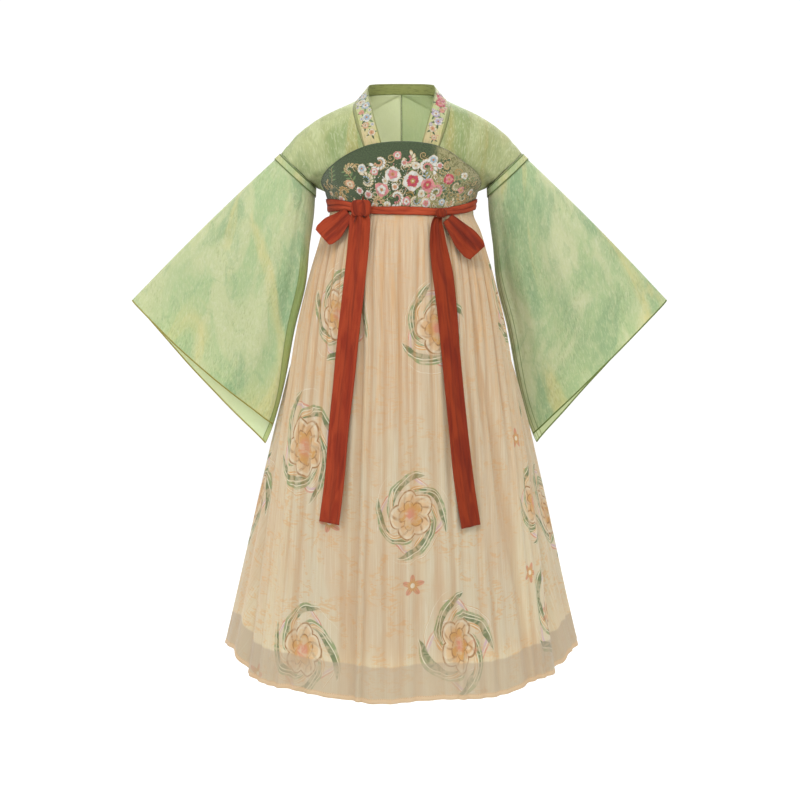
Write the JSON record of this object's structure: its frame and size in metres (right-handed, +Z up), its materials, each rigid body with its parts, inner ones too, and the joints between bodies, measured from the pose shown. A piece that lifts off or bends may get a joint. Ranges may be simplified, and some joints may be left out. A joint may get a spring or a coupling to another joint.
{
  "type": "hanfu robe",
  "caption": "Chest-high hanfu set: open-fronted blouse with wide sleeves, gathered skirt on arched chest bands, ribbon sash with bows.",
  "frame": {"origin": "base of the neck, midway between the shoulders, on the general figure that the set fits", "axes": "+Z up, front towards -Y, the wearer's left towards +X"},
  "size_m": [1.169, 0.644, 1.2763],
  "materials": {
    "blouse_cloth": "sheer pale green chiffon with a soft cloudy print and fine crinkle",
    "collar_cloth": "folded green strip, embroidered with small flowers down the fronts",
    "band_cloth": "dark green woven ground with pale scroll and blossom embroidery",
    "skirt_cloth": "cream and apricot chiffon with a soft wash and scattered blossom sprays",
    "lining_cloth": "plain cream lining, lightly glossy",
    "ribbon_cloth": "rust red crepe ribbon, matt"
  },
  "bodies": {
    "root": {"blouse_left": "blouse_cloth", "blouse_right": "blouse_cloth", "chest_band_back": "band_cloth", "chest_band_front": "band_cloth", "collar": "collar_cloth", "join_band_left": "blouse_cloth", "join_band_right": "blouse_cloth", "knot_left": "ribbon_cloth", "knot_right": "ribbon_cloth", "lining_back": "lining_cloth", "lining_front": "lining_cloth", "loop_left": "ribbon_cloth", "loop_right": "ribbon_cloth", "sash_back": "ribbon_cloth", "sash_front": "ribbon_cloth", "sash_left_side": "ribbon_cloth", "sash_right_side": "ribbon_cloth", "skirt_back": "skirt_cloth", "skirt_front": "skirt_cloth", "sleeve_left": "blouse_cloth", "sleeve_right": "blouse_cloth", "tail_left": "ribbon_cloth", "tail_right": "ribbon_cloth"}
  },
  "joints": []
}
